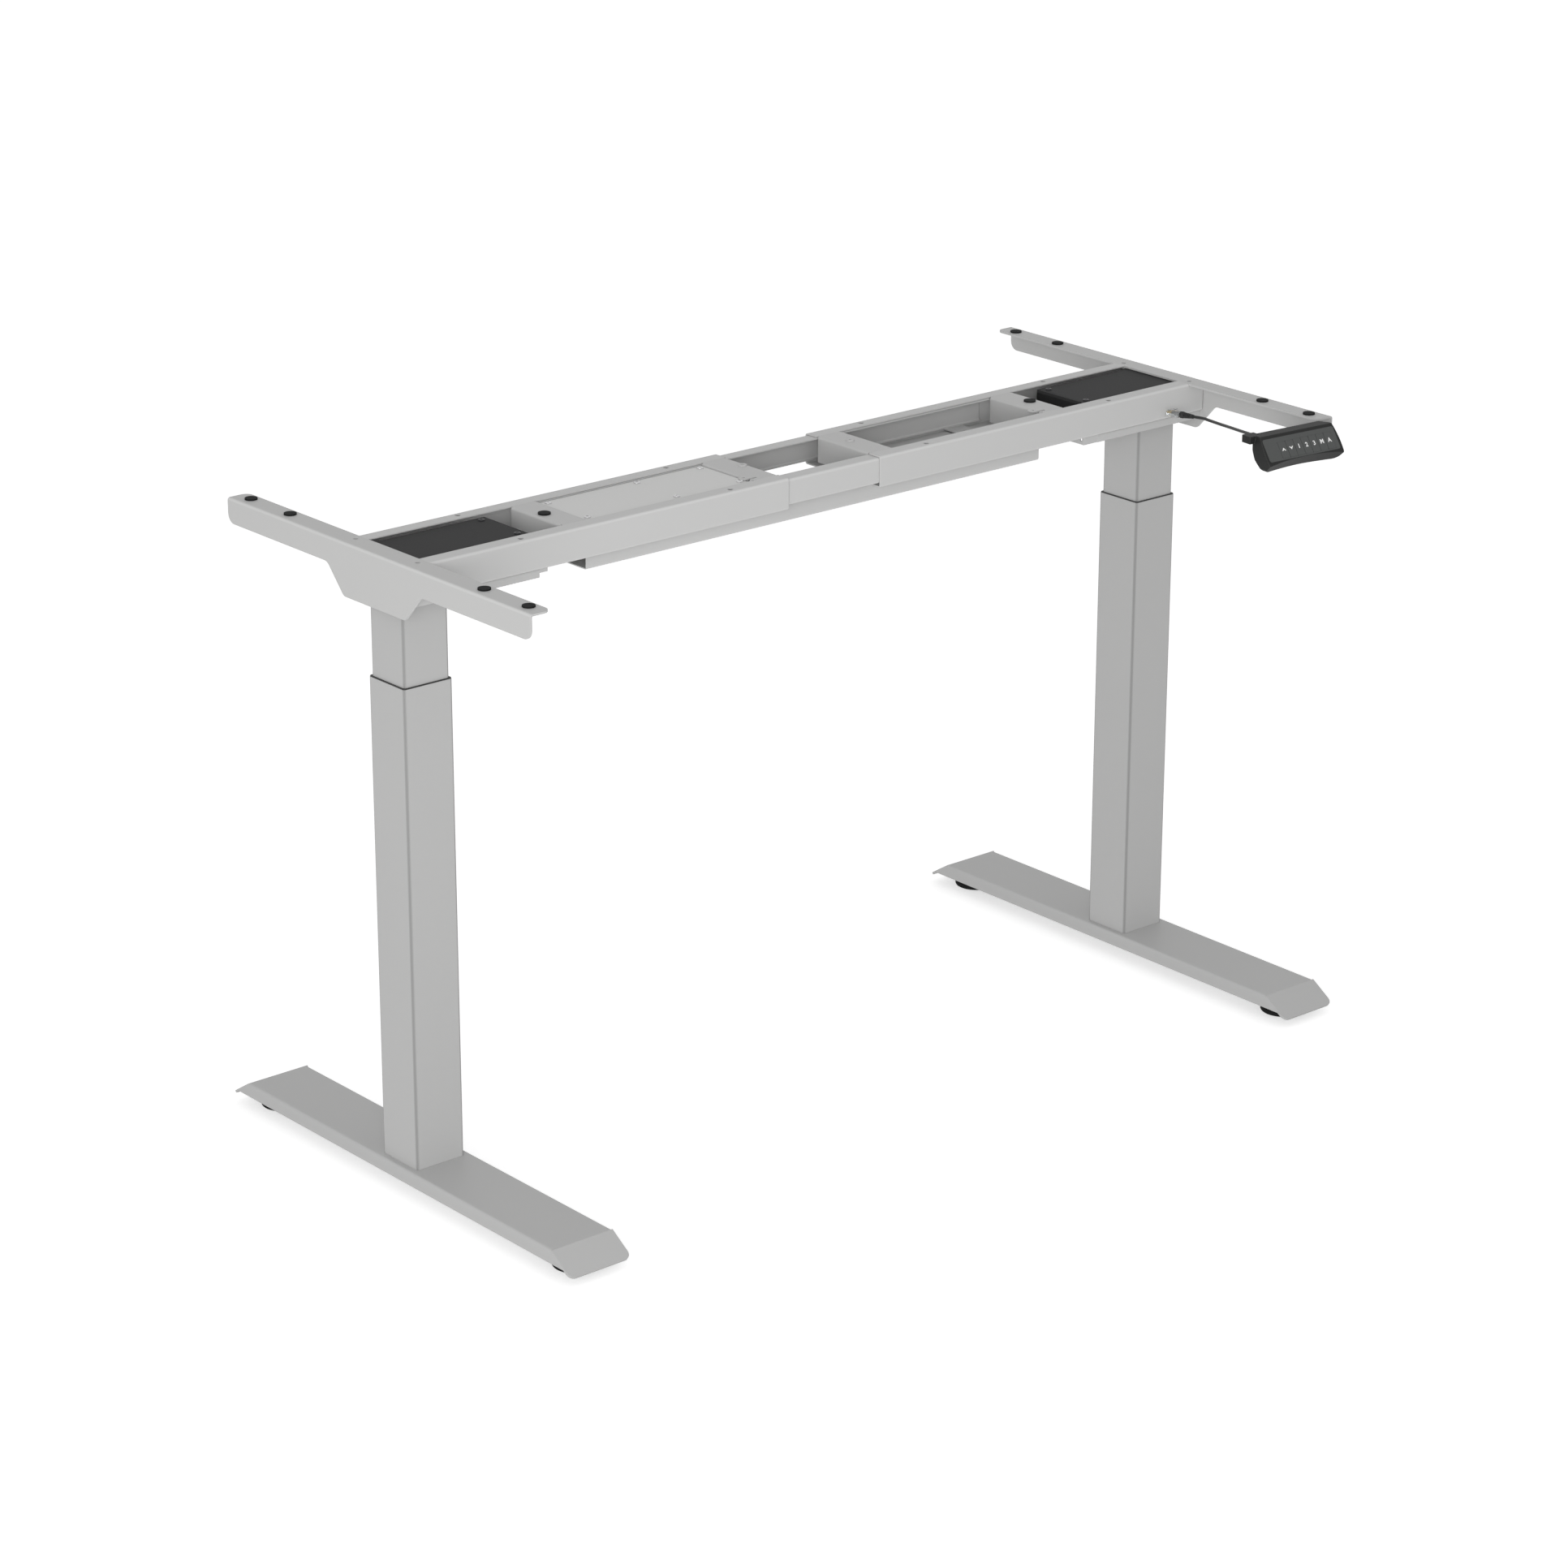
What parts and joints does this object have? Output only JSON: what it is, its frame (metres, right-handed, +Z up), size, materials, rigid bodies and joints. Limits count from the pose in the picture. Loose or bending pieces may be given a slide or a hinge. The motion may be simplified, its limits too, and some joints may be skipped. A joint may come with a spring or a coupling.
{
  "type": "standing desk frame",
  "caption": "Height-adjustable desk frame: telescopic square columns on flat feet, a widening channel beam with side brackets, control box and keyed handset.",
  "frame": {"origin": "on the floor, midway between the two columns", "axes": "+X along the beam to the column with the handset, +Y to the rear, +Z up"},
  "size_m": [1.282, 0.6961, 0.807],
  "materials": {
    "powder_coat": "fine textured powder coat",
    "black_plastic": "fine grain, matt",
    "guide_plastic": "smooth",
    "pad_rubber": "matt",
    "glide_rubber": "matt",
    "screw_steel": "zinc plated",
    "black_screws": "black oxide",
    "box_steel": "smooth light paint",
    "motor_body": "satin",
    "board_green": "solder resist",
    "handset_black": "fine grain, matt",
    "panel_grey": "satin",
    "lead_black": "smooth",
    "clear_plug": "clear moulded plastic"
  },
  "bodies": {
    "left_leg": {"left_foot": "powder_coat", "left_outer_tube": "powder_coat", "left_guide_collar": "guide_plastic", "left_push_tube": "screw_steel"},
    "left_carriage": {"left_inner_tube": "powder_coat", "left_guide_shoe": "guide_plastic", "left_mount_channel": "powder_coat", "left_side_bracket": "powder_coat", "left_front_outer_rail": "powder_coat", "left_rear_outer_rail": "powder_coat", "left_motor_cross_plate": "powder_coat", "left_centre_cross_plate": "powder_coat", "left_motor_housing": "black_plastic", "left_gearmotor": "motor_body", "left_rubber_pads": "pad_rubber", "left_housing_screws": "black_screws", "control_box_body": "box_steel", "control_box_lid": "box_steel", "control_box_screws": "screw_steel", "control_board": "board_green"},
    "left_screw": {"left_lifting_screw": "screw_steel"},
    "left_front_glide": {"left_front_glide": "glide_rubber"},
    "left_rear_glide": {"left_rear_glide": "glide_rubber"},
    "centre_beam": {"front_inner_rail": "powder_coat", "rear_inner_rail": "powder_coat", "cable_tray": "powder_coat"},
    "right_carriage": {"right_inner_tube": "powder_coat", "right_guide_shoe": "guide_plastic", "right_mount_channel": "powder_coat", "right_side_bracket": "powder_coat", "right_front_outer_rail": "powder_coat", "right_rear_outer_rail": "powder_coat", "right_motor_cross_plate": "powder_coat", "right_centre_cross_plate": "powder_coat", "right_motor_housing": "black_plastic", "right_gearmotor": "motor_body", "right_rubber_pads": "pad_rubber", "right_housing_screws": "black_screws", "handset_case": "handset_black", "handset_bezel": "panel_grey", "handset_board": "board_green", "handset_lead": "lead_black", "lead_boot": "lead_black", "lead_plug": "clear_plug"},
    "right_screw": {"right_lifting_screw": "screw_steel"},
    "right_leg": {"right_foot": "powder_coat", "right_outer_tube": "powder_coat", "right_guide_collar": "guide_plastic", "right_push_tube": "screw_steel"},
    "right_front_glide": {"right_front_glide": "glide_rubber"},
    "right_rear_glide": {"right_rear_glide": "glide_rubber"},
    "key_up": {"key_up": "panel_grey"},
    "key_down": {"key_down": "panel_grey"},
    "key_one": {"key_one": "panel_grey"},
    "key_two": {"key_two": "panel_grey"},
    "key_three": {"key_three": "panel_grey"},
    "key_memory": {"key_memory": "panel_grey"},
    "key_auto": {"key_auto": "panel_grey"}
  },
  "joints": [
    {"name": "left_lift", "type": "slide", "parent": "left_leg", "child": "left_carriage", "axis": [0, 0, 1], "range_m": [-0.095, 0.395]},
    {"name": "left_width", "type": "slide", "parent": "left_carriage", "child": "centre_beam", "axis": [1, 0, 0], "range_m": [-0.05, 0.18]},
    {"name": "right_width", "type": "slide", "parent": "centre_beam", "child": "right_carriage", "axis": [1, 0, 0], "range_m": [-0.05, 0.18]},
    {"name": "right_lift", "type": "slide", "parent": "right_carriage", "child": "right_leg", "axis": [0, 0, 1], "range_m": [-0.395, 0.095]},
    {"name": "left_screw_turn", "type": "hinge", "parent": "left_carriage", "child": "left_screw", "pos_m": [-0.5925, 0, 0], "axis": [0, 0, 1], "continuous": true},
    {"name": "right_screw_turn", "type": "hinge", "parent": "right_carriage", "child": "right_screw", "pos_m": [0.5925, 0, 0], "axis": [0, 0, 1], "continuous": true},
    {"name": "left_front_glide_screw", "type": "slide", "parent": "left_leg", "child": "left_front_glide", "axis": [0, 0, 1], "range_m": [-0.008, 0]},
    {"name": "left_rear_glide_screw", "type": "slide", "parent": "left_leg", "child": "left_rear_glide", "axis": [0, 0, 1], "range_m": [-0.008, 0]},
    {"name": "right_front_glide_screw", "type": "slide", "parent": "right_leg", "child": "right_front_glide", "axis": [0, 0, 1], "range_m": [-0.008, 0]},
    {"name": "right_rear_glide_screw", "type": "slide", "parent": "right_leg", "child": "right_rear_glide", "axis": [0, 0, 1], "range_m": [-0.008, 0]},
    {"name": "key_up_press", "type": "slide", "parent": "right_carriage", "child": "key_up", "axis": [0.0704, 0.8048, -0.5893], "range_m": [0, 0.0005], "stiffness_N_per_m": 1500, "springref_m": -0.0005},
    {"name": "key_down_press", "type": "slide", "parent": "right_carriage", "child": "key_down", "axis": [0.0704, 0.8048, -0.5893], "range_m": [0, 0.0005], "stiffness_N_per_m": 1500, "springref_m": -0.0005},
    {"name": "key_one_press", "type": "slide", "parent": "right_carriage", "child": "key_one", "axis": [0.0704, 0.8048, -0.5893], "range_m": [0, 0.0005], "stiffness_N_per_m": 1500, "springref_m": -0.0005},
    {"name": "key_two_press", "type": "slide", "parent": "right_carriage", "child": "key_two", "axis": [0.0704, 0.8048, -0.5893], "range_m": [0, 0.0005], "stiffness_N_per_m": 1500, "springref_m": -0.0005},
    {"name": "key_three_press", "type": "slide", "parent": "right_carriage", "child": "key_three", "axis": [0.0704, 0.8048, -0.5893], "range_m": [0, 0.0005], "stiffness_N_per_m": 1500, "springref_m": -0.0005},
    {"name": "key_memory_press", "type": "slide", "parent": "right_carriage", "child": "key_memory", "axis": [0.0704, 0.8048, -0.5893], "range_m": [0, 0.0005], "stiffness_N_per_m": 1500, "springref_m": -0.0005},
    {"name": "key_auto_press", "type": "slide", "parent": "right_carriage", "child": "key_auto", "axis": [0.0704, 0.8048, -0.5893], "range_m": [0, 0.0005], "stiffness_N_per_m": 1500, "springref_m": -0.0005}
  ],
  "couplings": [
    {"joint": "right_lift", "follows": "left_lift", "ratio": -1},
    {"joint": "left_screw_turn", "follows": "left_lift", "rad_per_m": 1047.2},
    {"joint": "right_screw_turn", "follows": "left_lift", "rad_per_m": 1047.2}
  ]
}
